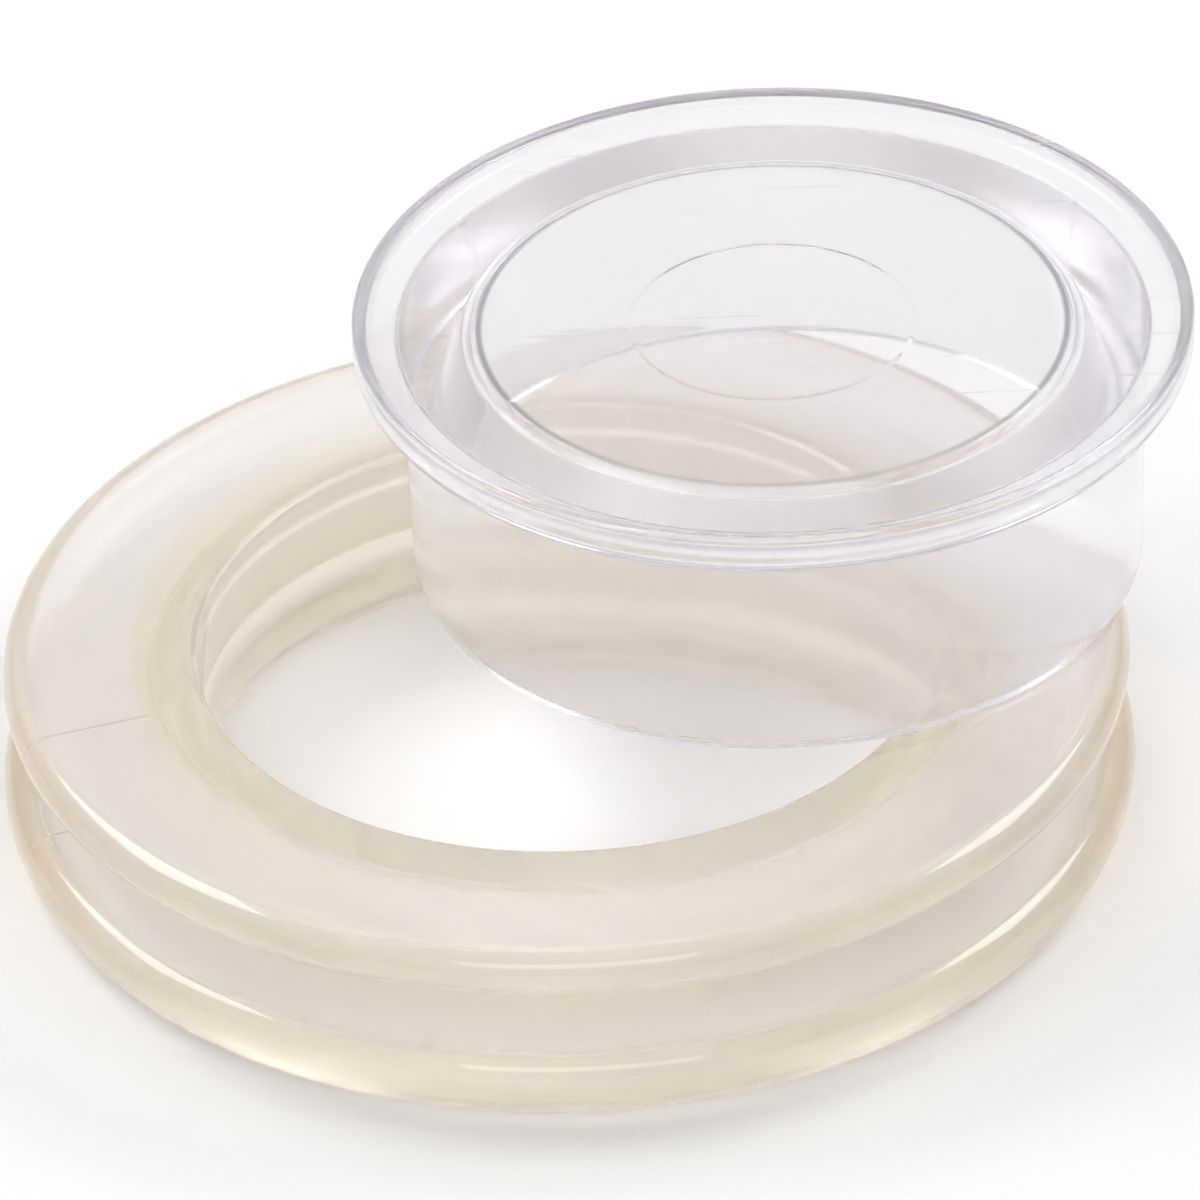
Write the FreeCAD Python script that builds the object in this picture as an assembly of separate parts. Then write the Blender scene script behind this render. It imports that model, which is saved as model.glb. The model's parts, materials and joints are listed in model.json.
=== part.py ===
import FreeCAD, Part
import math
import os

# Table hole ring and cap: a soft clear ring that lines the umbrella hole of a patio table,
# and a rigid clear cap that plugs the ring when no umbrella is in use. All sizes are in mm.
# +Z is up. The origin is on the ring's axis, in the flat face that the ring stands on.
# The cap lies flat on the ring's top face, off to one side, as a loose set is laid down.

# Ring: one soft moulding with two lips and a groove between them for the table's edge.
RING_HEIGHT = 12.5
BORE_RADIUS = 22.7
LOWER_LIP_RADIUS = 35.0
LOWER_LIP_HEIGHT = 5.2
LOWER_LIP_FOOT_ROUND = 3.4
LOWER_LIP_TOP_ROUND = 1.6
BORE_FOOT_ROUND = 2.5
UPPER_LIP_RADIUS = 34.65
UPPER_LIP_THICKNESS = 3.1
GROOVE_RADIUS = 25.4
GROOVE_ROUND = 0.6
LEAD_IN_RADIUS = 26.8
LEAD_IN_DROP = 0.3
BORE_TOP_ROUND = 0.6

# Cap: one rigid moulding, a flat flanged disc with a hollow skirt below it, open at the foot.
SKIRT_DEPTH = 14.5
SKIRT_FOOT_RADIUS = 22.6
SKIRT_TOP_RADIUS = 22.9
SKIRT_FOOT_ROUND = 0.4
SKIRT_ROOT_ROUND = 0.4
HOLLOW_FOOT_RADIUS = 21.3
HOLLOW_TOP_RADIUS = 19.0
HOLLOW_FOOT_ROUND = 0.3
HOLLOW_CORNER_ROUND = 1.2
FLANGE_RADIUS = 25.8
FLANGE_THICKNESS = 3.0
FLANGE_UNDER_ROUND = 1.4
FLANGE_TOP_ROUND = 0.5
DISC_THICKNESS = 3.0

# Where the cap lies: its axis stands beside the ring's, and its skirt rests on the upper lip.
CAP_OFFSET_X = 13.4
CAP_OFFSET_Y = 8.5
REST_GAP = 0.1

SHORTEST_LINE = 0.001
FULL_TURN = 360


def tangent_arc(before, corner, after, radius):
    """The arc that rounds a corner, as its start, its middle and its end."""
    to_before = (before - corner).normalize()
    to_after = (after - corner).normalize()
    half_angle = to_before.getAngle(to_after) / 2
    reach = radius / math.tan(half_angle)
    centre_line = (to_before + to_after).normalize()
    centre = corner + centre_line * (radius / math.sin(half_angle))
    return corner + to_before * reach, centre - centre_line * radius, corner + to_after * reach


def rounded_outline(corners):
    """A closed wire in the XZ plane through (radius, height, rounding) corners."""
    points = [FreeCAD.Vector(radius, 0, height) for radius, height, rounding in corners]
    edges = []
    ends = []
    for index, (radius, height, rounding) in enumerate(corners):
        point = points[index]
        if rounding == 0:
            ends.append((point, point))
            continue
        before = points[index - 1]
        after = points[(index + 1) % len(points)]
        start, middle, end = tangent_arc(before, point, after, rounding)
        edges.append(Part.Arc(start, middle, end).toShape())
        ends.append((start, end))
    for index, (start, end) in enumerate(ends):
        next_start = ends[(index + 1) % len(ends)][0]
        if end.distanceToPoint(next_start) > SHORTEST_LINE:
            edges.append(Part.LineSegment(end, next_start).toShape())
    return Part.Wire(Part.__sortEdges__(edges))


def turned(corners):
    """The solid that an outline makes when it goes round the Z axis."""
    face = Part.Face(rounded_outline(corners))
    return face.revolve(FreeCAD.Vector(0, 0, 0), FreeCAD.Vector(0, 0, 1), FULL_TURN)


def make_ring():
    groove_top = RING_HEIGHT - UPPER_LIP_THICKNESS
    lip_round = UPPER_LIP_THICKNESS / 2
    return turned([
        (BORE_RADIUS, 0, BORE_FOOT_ROUND),
        (LOWER_LIP_RADIUS, 0, LOWER_LIP_FOOT_ROUND),
        (LOWER_LIP_RADIUS, LOWER_LIP_HEIGHT, LOWER_LIP_TOP_ROUND),
        (GROOVE_RADIUS, LOWER_LIP_HEIGHT, GROOVE_ROUND),
        (GROOVE_RADIUS, groove_top, GROOVE_ROUND),
        (UPPER_LIP_RADIUS, groove_top, lip_round),
        (UPPER_LIP_RADIUS, RING_HEIGHT, lip_round),
        (LEAD_IN_RADIUS, RING_HEIGHT, 0),
        (BORE_RADIUS, RING_HEIGHT - LEAD_IN_DROP, BORE_TOP_ROUND),
    ])


def make_cap():
    top = SKIRT_DEPTH + FLANGE_THICKNESS
    ceiling = top - DISC_THICKNESS
    cap = turned([
        (0, ceiling, 0),
        (HOLLOW_TOP_RADIUS, ceiling, HOLLOW_CORNER_ROUND),
        (HOLLOW_FOOT_RADIUS, 0, HOLLOW_FOOT_ROUND),
        (SKIRT_FOOT_RADIUS, 0, SKIRT_FOOT_ROUND),
        (SKIRT_TOP_RADIUS, SKIRT_DEPTH, SKIRT_ROOT_ROUND),
        (FLANGE_RADIUS, SKIRT_DEPTH, FLANGE_UNDER_ROUND),
        (FLANGE_RADIUS, top, FLANGE_TOP_ROUND),
        (0, top, 0),
    ])
    cap.translate(FreeCAD.Vector(CAP_OFFSET_X, CAP_OFFSET_Y, RING_HEIGHT + REST_GAP))
    return cap


def save(name, shape):
    box = shape.optimalBoundingBox()
    print(f"{name}: valid {shape.isValid()}, volume {shape.Volume:.1f} mm3")
    print(f"  x {box.XMin:.2f} to {box.XMax:.2f}, y {box.YMin:.2f} to {box.YMax:.2f}, "
          f"z {box.ZMin:.2f} to {box.ZMax:.2f}")
    shape.exportStep(f"parts/{name}.step")


os.makedirs("parts", exist_ok=True)
ring = make_ring()
cap = make_cap()
save("ring", ring)
save("cap", cap)
print(f"ring to cap: {ring.distToShape(cap)[0]:.3f} mm apart")
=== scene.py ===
# %% [markdown]
# # A clear ring and cap for the umbrella hole of a garden table
#
# The set is two mouldings. A soft vinyl ring lines the hole in the table, and a hard, clear cap
# plugs the ring when no umbrella stands in it. Here the cap lies on top of the ring, off to one
# side, as it does before it is pressed home.
#
# Both pieces are clear, so their looks come from three things: true outlines inside and out,
# light that goes through them, and a bright room whose few dimmer parts are bent into lines.
# This lesson builds those in turn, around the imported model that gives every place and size.

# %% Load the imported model
import json
import math
import bpy
import bmesh
from mathutils import Matrix, Vector


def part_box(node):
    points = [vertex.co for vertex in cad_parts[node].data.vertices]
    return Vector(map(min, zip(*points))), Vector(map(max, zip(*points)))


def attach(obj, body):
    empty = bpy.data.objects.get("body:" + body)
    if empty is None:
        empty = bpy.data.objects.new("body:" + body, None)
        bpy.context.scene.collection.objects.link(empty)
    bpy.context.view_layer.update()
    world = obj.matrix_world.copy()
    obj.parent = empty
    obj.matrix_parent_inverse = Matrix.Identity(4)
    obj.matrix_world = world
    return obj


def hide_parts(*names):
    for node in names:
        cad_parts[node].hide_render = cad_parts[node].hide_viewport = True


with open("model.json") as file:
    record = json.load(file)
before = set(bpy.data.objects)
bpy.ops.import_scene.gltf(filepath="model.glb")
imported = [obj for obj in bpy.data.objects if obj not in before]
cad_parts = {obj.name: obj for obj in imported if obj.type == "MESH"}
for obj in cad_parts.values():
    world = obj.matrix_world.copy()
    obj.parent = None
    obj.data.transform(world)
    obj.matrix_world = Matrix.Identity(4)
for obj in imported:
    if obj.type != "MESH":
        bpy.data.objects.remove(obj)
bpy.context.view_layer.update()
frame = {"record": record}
MM = 0.001

# %% [markdown]
# ## Places and sizes
#
# The ring stands on the origin, so its box gives its radius and its height. The cap's box gives
# the middle of the cap, the level of its foot and the width of its flange. The bore's radius
# comes from the record. Lengths that neither gives, such as the groove's radius, are named in
# millimetres where they are needed.

# %% Read the boxes
ring_low, ring_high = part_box("ring")
cap_low, cap_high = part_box("cap")
ring_radius = ring_high[0] / MM
ring_height = ring_high[2] / MM
cap_centre = Vector(((cap_low[0] + cap_high[0]) / 2, (cap_low[1] + cap_high[1]) / 2, cap_low[2]))
flange_radius = (cap_high[0] - cap_low[0]) / 2 / MM
cap_height = (cap_high[2] - cap_low[2]) / MM
ring_bore = next(mount for mount in frame["record"]["mounts"] if mount["name"] == "ring_bore")
bore_radius = ring_bore["dims"]["r_mm"]
print(f"ring {ring_radius:.2f} by {ring_height:.2f}, bore {bore_radius:.2f}, "
      f"flange {flange_radius:.2f}, cap {cap_height:.2f} high")

# %% [markdown]
# ## The camera
#
# The set is seen from the front, from about 35 degrees above the table and about 0.6 m away,
# with a long lens, so its circles look nearly the same at the front and at the back. A camera's
# own matrix has its right, its up and its backward direction as columns. That is safer than
# three angles when the camera also leans a little, as a hand-held one does.

# %% Place the camera
VIEW_HEIGHT_ANGLE = math.radians(34.93)
VIEW_LEAN = math.radians(-2.12)
VIEW_DISTANCE = 0.6211
VIEW_WIDTH = 0.07421
VIEW_TARGET = Vector((0, 0, 0.006))
AIM_RIGHT = 0.00196
AIM_UP = 0.00710
SENSOR_WIDTH = 36
NEAREST_SEEN = 0.01


def place_camera():
    forward = Vector((0, math.cos(VIEW_HEIGHT_ANGLE), -math.sin(VIEW_HEIGHT_ANGLE)))
    right = Matrix.Rotation(VIEW_LEAN, 3, -forward) @ Vector((1, 0, 0))
    up = right.cross(forward)
    eye = VIEW_TARGET - forward * VIEW_DISTANCE
    backward = (eye - VIEW_TARGET - right * AIM_RIGHT - up * AIM_UP).normalized()
    right = (right - backward * right.dot(backward)).normalized()
    turn = Matrix((right, backward.cross(right), backward)).transposed().to_4x4()
    lens = bpy.data.cameras.new("studio_camera")
    lens.sensor_width = SENSOR_WIDTH
    lens.lens = SENSOR_WIDTH * VIEW_DISTANCE / VIEW_WIDTH
    lens.clip_start = NEAREST_SEEN
    camera = bpy.data.objects.new("studio_camera", lens)
    camera.matrix_world = Matrix.Translation(eye) @ turn
    bpy.context.collection.objects.link(camera)
    bpy.context.scene.camera = camera
    print(f"camera {lens.lens:.0f} mm at", [round(v, 3) for v in eye])


place_camera()

# %% [markdown]
# ## Turning a section into a piece
#
# Both mouldings came out of round moulds, so each is one section swept round the Z axis. The
# section is a loop of straight lines whose corners carry their own rounding. A vertex bevel cuts
# a corner back along both of its lines: cutting back by the radius over the tangent of half the
# corner's angle gives a true arc. It is cut back by a hair less, so that two roundings that meet
# in the middle of a line never cross.
#
# Clear plastic shows every flaw in its shading, because light bends at each face. Long, flat
# parts therefore get a narrow strip of their own at each end, which keeps the smooth shading of
# a rounding from spreading over the flat beside it.

# %% Draw a rounded section
ARC_STEPS = 10
FEWEST_ARC_STEPS = 2
ARC_SHARE = 0.9999
STRIP = 0.12
LONG_LINE = 6 * STRIP


def section_loop(corners):
    """A bmesh with the rounded section, from (radius, height, rounding) corners in mm."""
    section = bmesh.new()
    points = [Vector((radius, 0, height)) for radius, height, _ in corners]
    verts = [section.verts.new(point * MM) for point in points]
    for index, vert in enumerate(verts):
        following = (index + 1) % len(verts)
        if points[index].x > 0 or points[following].x > 0:
            section.edges.new((vert, verts[following]))
    for index, (_, _, rounding) in enumerate(corners):
        if rounding == 0:
            continue
        before = points[index - 1] - points[index]
        after = points[(index + 1) % len(points)] - points[index]
        half = before.angle(after) / 2
        steps = max(FEWEST_ARC_STEPS, round(ARC_STEPS * (math.pi - 2 * half) / (math.pi / 2)))
        cut_back = rounding * MM / math.tan(half) * ARC_SHARE
        bmesh.ops.bevel(section, geom=[verts[index]], offset=cut_back, offset_type="OFFSET",
                        segments=steps, profile=0.5, affect="VERTICES", material=-1)
    for edge in list(section.edges):
        length = edge.calc_length() / MM
        if length > LONG_LINE:
            start, end = edge.verts
            _, cut = bmesh.utils.edge_split(edge, start, STRIP / length)
            rest = next(e for e in cut.link_edges if e.other_vert(cut) is end)
            bmesh.utils.edge_split(rest, end, STRIP / (length - STRIP))
    return section


# %% Spin a section into a closed piece
SAME_POINT = 1e-7
CREASE_ANGLE = math.radians(40)


def turned_piece(name, corners, steps, place=Vector((0, 0, 0))):
    """A new object: the section spun a full turn round Z, closed, smooth, and put in its place."""
    shape = section_loop(corners)
    bmesh.ops.spin(shape, geom=shape.verts[:] + shape.edges[:], cent=(0, 0, 0), axis=(0, 0, 1),
                   angle=math.tau, steps=steps, use_merge=True)
    bmesh.ops.remove_doubles(shape, verts=shape.verts[:], dist=SAME_POINT)
    bmesh.ops.recalc_face_normals(shape, faces=shape.faces[:])
    bmesh.ops.translate(shape, verts=shape.verts[:], vec=place)
    volume = shape.calc_volume(signed=True) / MM ** 3
    mesh = bpy.data.meshes.new(name)
    shape.to_mesh(mesh)
    shape.free()
    mesh.shade_smooth()
    mesh.set_sharp_from_angle(angle=CREASE_ANGLE)
    piece = bpy.data.objects.new(name, mesh)
    bpy.context.collection.objects.link(piece)
    print(f"{name}: {len(mesh.polygons)} faces, {volume:.0f} mm3")
    return piece


# %% [markdown]
# ## The soft ring
#
# The ring is one vinyl moulding: a straight bore, a wide lower lip that goes under the table, a
# groove that the table's edge sits in, and a thinner upper lip with a fully round edge. Just
# round the bore the top face drops by a hair, as a lead-in for the cap.
#
# It could be a torus cut by others, but one turned section keeps the wall thickness exact, and
# in a clear piece the thickness is the colour.

# %% Make the ring
RING_STEPS = 240
LOWER_LIP_HEIGHT = 5.2
LOWER_LIP_FOOT_ROUND = 3.4
LOWER_LIP_TOP_ROUND = 1.6
BORE_FOOT_ROUND = 2.5
BORE_TOP_ROUND = 0.6
UPPER_LIP_THICKNESS = 3.1
UPPER_LIP_INSET = 0.35
UPPER_LIP_FLAT = 0.02
GROOVE_RADIUS = 25.4
GROOVE_ROUND = 0.6
LEAD_IN_RADIUS = 26.8
LEAD_IN_DROP = 0.3

upper_lip_radius = ring_radius - UPPER_LIP_INSET
upper_lip_round = UPPER_LIP_THICKNESS / 2 - UPPER_LIP_FLAT
groove_top = ring_height - UPPER_LIP_THICKNESS
ring_corners = [
    (bore_radius, 0, BORE_FOOT_ROUND),
    (ring_radius, 0, LOWER_LIP_FOOT_ROUND),
    (ring_radius, LOWER_LIP_HEIGHT, LOWER_LIP_TOP_ROUND),
    (GROOVE_RADIUS, LOWER_LIP_HEIGHT, GROOVE_ROUND),
    (GROOVE_RADIUS, groove_top, GROOVE_ROUND),
    (upper_lip_radius, groove_top, upper_lip_round),
    (upper_lip_radius, ring_height, upper_lip_round),
    (LEAD_IN_RADIUS, ring_height, 0),
    (bore_radius, ring_height - LEAD_IN_DROP, BORE_TOP_ROUND),
]
soft_ring = turned_piece("soft_ring", ring_corners, RING_STEPS)

# %% [markdown]
# ## The hard cap
#
# The cap is a flanged disc with a hollow skirt under it. Its wall thickens from the foot up, so
# the mould's core can be drawn out downwards, and the inside meets the disc in a small rounding.
# Seen from above, that thick wall works as a lens: it bends the foot of the skirt outwards, and
# its inner corner shows as a bright ellipse. So the inside of the section matters as much as
# the outside. The round mark under the disc is where the mould's ejector pin pressed.

# %% Make the cap
CAP_STEPS = 240
SKIRT_DEPTH = 14.5
DISC_THICKNESS = 3.0
HOLLOW_FOOT_RADIUS = 21.3
HOLLOW_FOOT_ROUND = 0.3
HOLLOW_TOP_RADIUS = 19.0
HOLLOW_CORNER_ROUND = 1.2
SKIRT_FOOT_RADIUS = 22.6
SKIRT_TOP_RADIUS = 22.9
SKIRT_ROUND = 0.4
FLANGE_UNDER_ROUND = 1.4
FLANGE_TOP_ROUND = 0.5
EJECTOR_RADIUS = 8.7
EJECTOR_DEPTH = 0.04
EJECTOR_LINE = 0.12

ceiling = cap_height - DISC_THICKNESS
cap_corners = [
    (0, ceiling + EJECTOR_DEPTH, 0),
    (EJECTOR_RADIUS, ceiling + EJECTOR_DEPTH, 0),
    (EJECTOR_RADIUS + EJECTOR_LINE, ceiling, 0),
    (HOLLOW_TOP_RADIUS, ceiling, HOLLOW_CORNER_ROUND),
    (HOLLOW_FOOT_RADIUS, 0, HOLLOW_FOOT_ROUND),
    (SKIRT_FOOT_RADIUS, 0, SKIRT_ROUND),
    (SKIRT_TOP_RADIUS, SKIRT_DEPTH, SKIRT_ROUND),
    (flange_radius, SKIRT_DEPTH, FLANGE_UNDER_ROUND),
    (flange_radius, cap_height, FLANGE_TOP_ROUND),
    (0, cap_height, 0),
]
hard_cap = turned_piece("hard_cap", cap_corners, CAP_STEPS, cap_centre)

# %% [markdown]
# ## Writing shader sums as Python
#
# A material's pattern is a sum on coordinates, such as the distance from the axis. Written as
# nodes and links that is hard to read, so this small class wraps a socket and turns Python's own
# operators into Math nodes. Every other kind of node comes from one method, which takes the
# node's type, its settings and the values or links of its sockets.

# %% The node helper
class Signal:
    """One output socket of a node tree, with Python's operators as Math nodes."""

    def __init__(self, tree, socket=None):
        self.tree = tree
        self.socket = socket

    def node(self, kind, settings=None, sockets=None, output=0):
        made = self.tree.nodes.new(kind)
        for name, value in (settings or {}).items():
            setattr(made, name, value)
        for name, value in (sockets or {}).items():
            if isinstance(value, Signal):
                self.tree.links.new(value.socket, made.inputs[name])
            else:
                made.inputs[name].default_value = value
        return Signal(self.tree, made.outputs[output])

    def other(self, name):
        """Another output of the same node."""
        return Signal(self.tree, self.socket.node.outputs[name])

    def feed(self, shader, name):
        """Link this signal to one of a shader's sockets."""
        self.tree.links.new(self.socket, shader.inputs[name])

    def sum_of(self, operation, *values):
        return self.node("ShaderNodeMath", {"operation": operation}, dict(enumerate(values)))

    def __add__(self, other):
        return self.sum_of("ADD", self, other)

    def __sub__(self, other):
        return self.sum_of("SUBTRACT", self, other)

    def __rsub__(self, other):
        return self.sum_of("SUBTRACT", other, self)

    def __mul__(self, other):
        return self.sum_of("MULTIPLY", self, other)

    def __truediv__(self, other):
        return self.sum_of("DIVIDE", self, other)

    def __pow__(self, other):
        return self.sum_of("POWER", self, other)

    def __abs__(self):
        return self.sum_of("ABSOLUTE", self)

    __radd__ = __add__
    __rmul__ = __mul__

    def rise(self, low, high):
        """0 below low, 1 above high, and a straight rise between."""
        return self.node("ShaderNodeMapRange", {"clamp": True},
                         {"Value": self, "From Min": low, "From Max": high})

    def line(self, half_width, faded):
        """1 within half_width of where this signal is 0, and 0 past faded."""
        return 1 - abs(self).rise(half_width, faded)

    def split(self):
        """The X, Y and Z of a position."""
        x = self.node("ShaderNodeSeparateXYZ", {}, {0: self})
        return x, x.other("Y"), x.other("Z")

    def tint(self, lower, upper):
        """A colour that goes from lower to upper as this signal goes from 0 to 1."""
        return self.node("ShaderNodeMix", {"data_type": "RGBA"},
                         {0: self, 6: (*lower, 1), 7: (*upper, 1)}, output=2)

    def covered(self, mask, colour, blend="MIX"):
        """This colour, with another put over it, or multiplied with it, where the mask is 1."""
        return self.node("ShaderNodeMix", {"data_type": "RGBA", "blend_type": blend},
                         {0: mask, 6: self, 7: (*colour, 1)}, output=2)

    def stained(self, mask, colour):
        return self.covered(mask, colour, "MULTIPLY")

    def grains(self, scale, core, edge, rarity):
        """Small round specks at this position, in the few cells whose own value is above rarity."""
        cells = self.node("ShaderNodeTexVoronoi", {}, {"Vector": self, "Scale": scale})
        chance = self.node("ShaderNodeSeparateColor", {}, {0: cells.other("Color")})
        return (1 - cells.rise(core, edge)) * chance.rise(rarity, rarity + 0.001)


def clear_plastic(name, refraction, clarity, roughness, absorbed, density):
    """A new material that light goes through, its shader, and object coordinates to start from."""
    material = bpy.data.materials.new(name)
    material.use_nodes = True
    tree = material.node_tree
    shader = tree.nodes["Principled BSDF"]
    shader.inputs["Transmission Weight"].default_value = clarity
    shader.inputs["IOR"].default_value = refraction
    shader.inputs["Roughness"].default_value = roughness
    depth_tint = Signal(tree).node("ShaderNodeVolumeAbsorption", {},
                                   {"Color": (*absorbed, 1), "Density": density})
    depth_tint.feed(tree.nodes["Material Output"], "Volume")
    return material, shader, Signal(tree).node("ShaderNodeTexCoord").other("Object")


# %% [markdown]
# ## Clear vinyl
#
# Soft vinyl yellows, and it is never quite clear: the flow of the moulding leaves it a little
# cloudy, so lines seen through it are blurred while its own gloss stays sharp. The yellow is a
# volume colour, so the thick web round the bore comes out deeper than the thin lips. A clear
# coat keeps the surface wet-looking over a rougher body.
#
# Some of the yellow is a stain on the surface. The web shows as an olive band round the bore.
# The rounded rims are painted a deeper amber, most of all on the two sides. It stands in for
# light that travels a long way through them, not for age.

# %% Colour the vinyl
VINYL_REFRACTION = 1.53
VINYL_CLARITY = 0.79
VINYL_HAZE = 0.24
VINYL_DEPTH_COLOUR = (0.97, 0.80, 0.36)
VINYL_DEPTH = 7.5
COAT_WEIGHT = 0.55
COAT_HAZE = 0.02
FLOW_SCALE = 55
CLEAR_FLOW = (1.0, 0.99, 0.99)
CLOUDY_FLOW = (0.985, 0.97, 0.965)
BAND_STAIN = (0.972, 0.957, 0.865)
BAND_EDGE = 0.05
# Painted light: a deeper amber on the rims and their two sides, in place of long light paths
# through the vinyl.
PAINTED_RIM_AMBER = (1.0, 0.94, 0.855)
RIM_STARTS = 1.6
RIM_FULL = 0.3
PAINTED_SIDE_AMBER = (1.0, 0.89, 0.76)
SIDE_STARTS = 0.80
SIDE_FULL = 0.97
FLOW_STARTS = 0.35
FLOW_FULL = 0.7

vinyl, vinyl_shader, place = clear_plastic("clear_vinyl", VINYL_REFRACTION, VINYL_CLARITY,
                                           VINYL_HAZE, VINYL_DEPTH_COLOUR, VINYL_DEPTH)
vinyl_shader.inputs["Coat Weight"].default_value = COAT_WEIGHT
vinyl_shader.inputs["Coat Roughness"].default_value = COAT_HAZE
vinyl_shader.inputs["Coat IOR"].default_value = VINYL_REFRACTION

x, y, z = place.split()
radius = (x * x + y * y) ** 0.5
flow = place.node("ShaderNodeTexNoise", {}, {"Vector": place, "Scale": FLOW_SCALE, "Detail": 0})
band = 1 - radius.rise((LEAD_IN_RADIUS - BAND_EDGE) * MM, (LEAD_IN_RADIUS + BAND_EDGE) * MM)
# Painted light: the rims, and most of all their two sides, are tinted deeper amber to stand in for
# light travelling far through them.
rim = radius.rise((upper_lip_radius - RIM_STARTS) * MM, (upper_lip_radius - RIM_FULL) * MM)
sides = rim * (abs(x) / radius).rise(SIDE_STARTS, SIDE_FULL)
vinyl_colour = flow.rise(FLOW_STARTS, FLOW_FULL).tint(CLEAR_FLOW, CLOUDY_FLOW)
vinyl_colour = vinyl_colour.stained(band, BAND_STAIN).stained(rim, PAINTED_RIM_AMBER)
vinyl_colour = vinyl_colour.stained(sides, PAINTED_SIDE_AMBER)
print("vinyl colour nodes", len(vinyl.node_tree.nodes))

# %% [markdown]
# ### Marks of the mould
#
# The line across both lips is where two streams of vinyl met in the mould. It is a narrow stripe
# along one direction from the axis, kept to the tops of the lips. The specks are dust that was
# moulded in.

# %% Mark the vinyl
MARK_COLOUR = (0.30, 0.24, 0.17)
DUST_STRENGTH = 0.75
WELD_STRENGTH = 0.22
WELD_ANGLE = math.radians(-163)
WELD_HALF_WIDTH = 0.00004
WELD_FADED = 0.00016
WELD_STARTS = (0.0264, 0.0270)
UPPER_LIP_TOP = (0.0100, 0.0106)
LOWER_LIP_TOP = (0.0036, 0.0044)
ABOVE_LOWER_LIP = (0.0053, 0.0058)
RELIEF_DEPTH = 0.0004
RELIEF_STRENGTH = 0.35
FLOW_RELIEF = 0.35
WELD_RELIEF = 0.25

across = x * math.sin(WELD_ANGLE) - y * math.cos(WELD_ANGLE)
along = x * math.cos(WELD_ANGLE) + y * math.sin(WELD_ANGLE)
lip_tops = z.rise(*UPPER_LIP_TOP) + z.rise(*LOWER_LIP_TOP) - z.rise(*ABOVE_LOWER_LIP)
weld = across.line(WELD_HALF_WIDTH, WELD_FADED) * along.rise(*WELD_STARTS) * lip_tops
dust = place.grains(scale=230, core=0.03, edge=0.07, rarity=0.93)
marks = dust * DUST_STRENGTH + weld * WELD_STRENGTH
vinyl_colour.covered(marks, MARK_COLOUR).feed(vinyl_shader, "Base Color")

relief = place.node("ShaderNodeBump", {}, {"Height": flow * FLOW_RELIEF - weld * WELD_RELIEF,
                                           "Strength": RELIEF_STRENGTH,
                                           "Distance": RELIEF_DEPTH})
relief.feed(vinyl_shader, "Normal")
soft_ring.data.materials.append(vinyl)
print("vinyl nodes", len(vinyl.node_tree.nodes))

# %% [markdown]
# ## Clear styrene
#
# The cap is hard and really clear, with a very faint violet from the dye that hides styrene's
# own yellow. Its disc was polished in the mould, while the wall and the flange have a silky
# finish, which is a little more roughness outside the disc. A fine, dark line of painted shade
# runs round the inside corner, darkest on the cap's two sides. It stands in for the dark crescents
# that the bent, dimmer parts of the room draw there.
#
# The cap has been handled: there are fine scratches on the disc, and a few specks. They are too
# fine to model, so they go into the roughness and the colour, each scratch a thin stretch of
# noise.

# %% Finish the cap
STYRENE_REFRACTION = 1.59
STYRENE_CLARITY = 0.92
STYRENE_DEPTH_COLOUR = (0.72, 0.64, 0.80)
STYRENE_DEPTH = 10
STYRENE_COLOUR = (0.985, 0.976, 0.99)
SPECK_COLOUR = (0.25, 0.22, 0.24)
# Painted shade: a dark line round the hollow's inner corner, in place of the dark crescents that
# refraction draws there.
PAINTED_CRESCENT_COLOUR = (0.14, 0.14, 0.16)
PAINTED_CRESCENT_RADIUS = 18.05
PAINTED_CRESCENT_HALF_WIDTH = 0.00010
PAINTED_CRESCENT_FADED = 0.00030
PAINTED_CRESCENT_LEAST = 0.45
PAINTED_CRESCENT_SIDES = (0.5, 0.95)
CEILING_STARTS = 0.0001
CEILING_FULL = 0.0002
TOP_FACE_STARTS = 0.0003
TOP_FACE_FULL = 0.0001
SATIN_STARTS = 0.0190
SATIN_FULL = 0.0196
SPECK_STRENGTH = 0.8
SCRATCH_STRENGTH = 0.1
POLISHED_ROUGHNESS = 0.03
SATIN_ROUGHNESS = 0.10
SCRATCH_ROUGHNESS = 0.12
SCRATCH_NARROWNESS = 22

styrene, styrene_shader, place = clear_plastic("clear_styrene", STYRENE_REFRACTION,
                                               STYRENE_CLARITY, 0.0, STYRENE_DEPTH_COLOUR,
                                               STYRENE_DEPTH)


def scratch_set(place, turn, scale, threshold):
    """Thin lines in one direction: noise stretched out along it."""
    stretched = place.node("ShaderNodeMapping", {},
                           {"Vector": place, "Rotation": (0, 0, math.radians(turn)),
                            "Scale": (scale, scale * SCRATCH_NARROWNESS, scale)})
    noise = place.node("ShaderNodeTexNoise", {}, {"Vector": stretched, "Scale": 1, "Detail": 0})
    return noise.rise(threshold, threshold + 0.02)


centred = place.node("ShaderNodeMapping", {}, {"Vector": place, "Location": tuple(-cap_centre)})
x, y, z = centred.split()
radius = (x * x + y * y) ** 0.5
satin = radius.rise(SATIN_STARTS, SATIN_FULL)
in_hollow = 1 - z.rise(ceiling * MM + CEILING_STARTS, ceiling * MM + CEILING_FULL)
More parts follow.
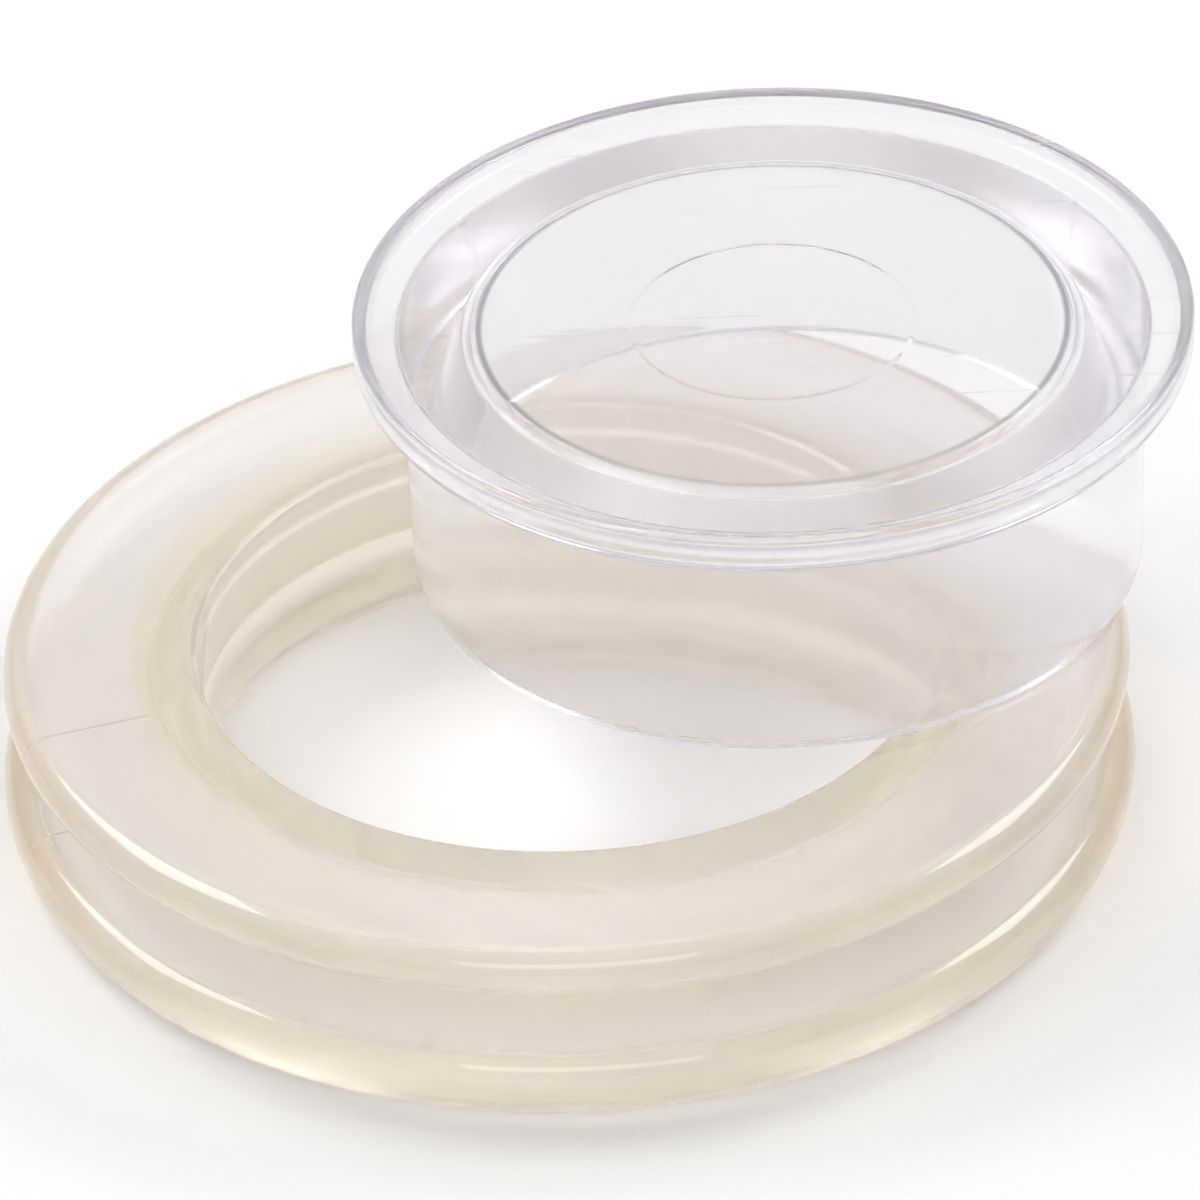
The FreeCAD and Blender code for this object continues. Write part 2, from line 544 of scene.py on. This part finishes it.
# Painted shade: the dark line round the inner corner, stronger on the cap's two sides, where the
# refracted crescents are darkest.
on_sides = (abs(x) / radius).rise(*PAINTED_CRESCENT_SIDES)
painted_crescent = (radius - PAINTED_CRESCENT_RADIUS * MM).line(PAINTED_CRESCENT_HALF_WIDTH, PAINTED_CRESCENT_FADED)
painted_crescent = painted_crescent * (PAINTED_CRESCENT_LEAST + (1 - PAINTED_CRESCENT_LEAST) * on_sides) * in_hollow
top_face = z.rise(cap_height * MM - TOP_FACE_STARTS, cap_height * MM - TOP_FACE_FULL)
scratches = scratch_set(place, -38, 120, 0.77) + scratch_set(place, 64, 95, 0.80)
scratches = scratches * top_face
speck = place.grains(scale=190, core=0.02, edge=0.05, rarity=0.95)

soiled = speck * SPECK_STRENGTH + scratches * SCRATCH_STRENGTH
styrene_colour = soiled.tint(STYRENE_COLOUR, SPECK_COLOUR)
styrene_colour.stained(painted_crescent, PAINTED_CRESCENT_COLOUR).feed(styrene_shader, "Base Color")
roughness = scratches * SCRATCH_ROUGHNESS + satin * SATIN_ROUGHNESS + POLISHED_ROUGHNESS
roughness.feed(styrene_shader, "Roughness")
hard_cap.data.materials.append(styrene)
print("styrene nodes", len(styrene.node_tree.nodes))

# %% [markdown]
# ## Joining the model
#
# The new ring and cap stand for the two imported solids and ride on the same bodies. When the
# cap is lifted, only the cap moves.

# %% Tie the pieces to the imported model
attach(soft_ring, "ring_body")
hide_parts("ring")
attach(hard_cap, "cap_body")
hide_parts("cap")
print("tied", soft_ring.name, "and", hard_cap.name)

# %% [markdown]
# ## Floor and light
#
# Clear things have no shading of their own. They show what is behind them, bent, so they need a
# bright floor, a room that is only a little dimmer to draw their edges with, and a few soft
# lamps whose outlines become the highlights. The large lamp hangs high in front, and two smaller
# ones stand to the left and to the right, a little behind, to streak the ring's round edges.

# %% Make the floor
FLOOR_SIZE = 0.9
FLOOR_DROP = 0.00005
FLOOR_COLOUR = (0.87, 0.87, 0.87)
FLOOR_ROUGHNESS = 0.9


def make_floor():
    sheet = bmesh.new()
    bmesh.ops.create_grid(sheet, x_segments=1, y_segments=1, size=FLOOR_SIZE)
    bmesh.ops.translate(sheet, verts=sheet.verts[:], vec=(0, 0, -FLOOR_DROP))
    mesh = bpy.data.meshes.new("studio_floor")
    sheet.to_mesh(mesh)
    sheet.free()
    paper = bpy.data.materials.new("pale_paper")
    paper.use_nodes = True
    shader = paper.node_tree.nodes["Principled BSDF"]
    shader.inputs["Base Color"].default_value = (*FLOOR_COLOUR, 1)
    shader.inputs["Roughness"].default_value = FLOOR_ROUGHNESS
    shader.inputs["Specular IOR Level"].default_value = 0
    mesh.materials.append(paper)
    floor = bpy.data.objects.new("studio_floor", mesh)
    bpy.context.collection.objects.link(floor)
    print(f"floor {2 * FLOOR_SIZE:.1f} m wide")


make_floor()

# %% Light the room
ROOM_LIGHT = 0.70
HORIZON_COLOUR = (0.86, 0.855, 0.87)
ZENITH_COLOUR = (1.0, 1.0, 1.0)
HORIZON_BAND = 0.3


def light_room():
    room = bpy.data.worlds.new("studio_room")
    room.use_nodes = True
    background = room.node_tree.nodes["Background"]
    direction = Signal(room.node_tree).node("ShaderNodeTexCoord").other("Generated")
    _, _, upward = direction.split()
    upward.rise(0, HORIZON_BAND).tint(HORIZON_COLOUR, ZENITH_COLOUR).feed(background, "Color")
    background.inputs["Strength"].default_value = ROOM_LIGHT
    bpy.context.scene.world = room
    print("room nodes", len(room.node_tree.nodes))


light_room()


# %% Hang the lamps
def softbox(name, place, aim, width, depth, power):
    lamp = bpy.data.lights.new(name, "AREA")
    lamp.shape = "RECTANGLE"
    lamp.size = width
    lamp.size_y = depth
    lamp.energy = power
    holder = bpy.data.objects.new(name, lamp)
    holder.location = place
    holder.rotation_euler = (Vector(aim) - Vector(place)).to_track_quat("-Z", "Y").to_euler()
    bpy.context.collection.objects.link(holder)
    print(name, f"{power:.2f} W")


softbox("front_softbox", (0.0, -0.50, 0.45), (0, 0, 0), 0.46, 0.22, 0.63)
softbox("left_softbox", (-0.32, 0.16, 0.42), (0, 0, 0.01), 0.34, 0.22, 0.95)
softbox("right_softbox", (0.35, 0.16, 0.38), (0, 0, 0.01), 0.28, 0.18, 0.68)

# %% [markdown]
# ## Letting light through
#
# The renderer blurs and caps light that has passed through glass, to save time. Here that light
# is the picture, so both are turned off, and the light may go through many faces. The colours
# are shown as they are, with no film look.

# %% Set the light paths
scene = bpy.context.scene
scene.view_settings.view_transform = "Standard"
scene.cycles.max_bounces = 14
scene.cycles.transmission_bounces = 14
scene.cycles.glossy_bounces = 8
scene.cycles.diffuse_bounces = 5
scene.cycles.caustics_refractive = True
scene.cycles.caustics_reflective = True
scene.cycles.blur_glossy = 0
scene.cycles.sample_clamp_indirect = 0
print("light goes through up to", scene.cycles.transmission_bounces, "faces")
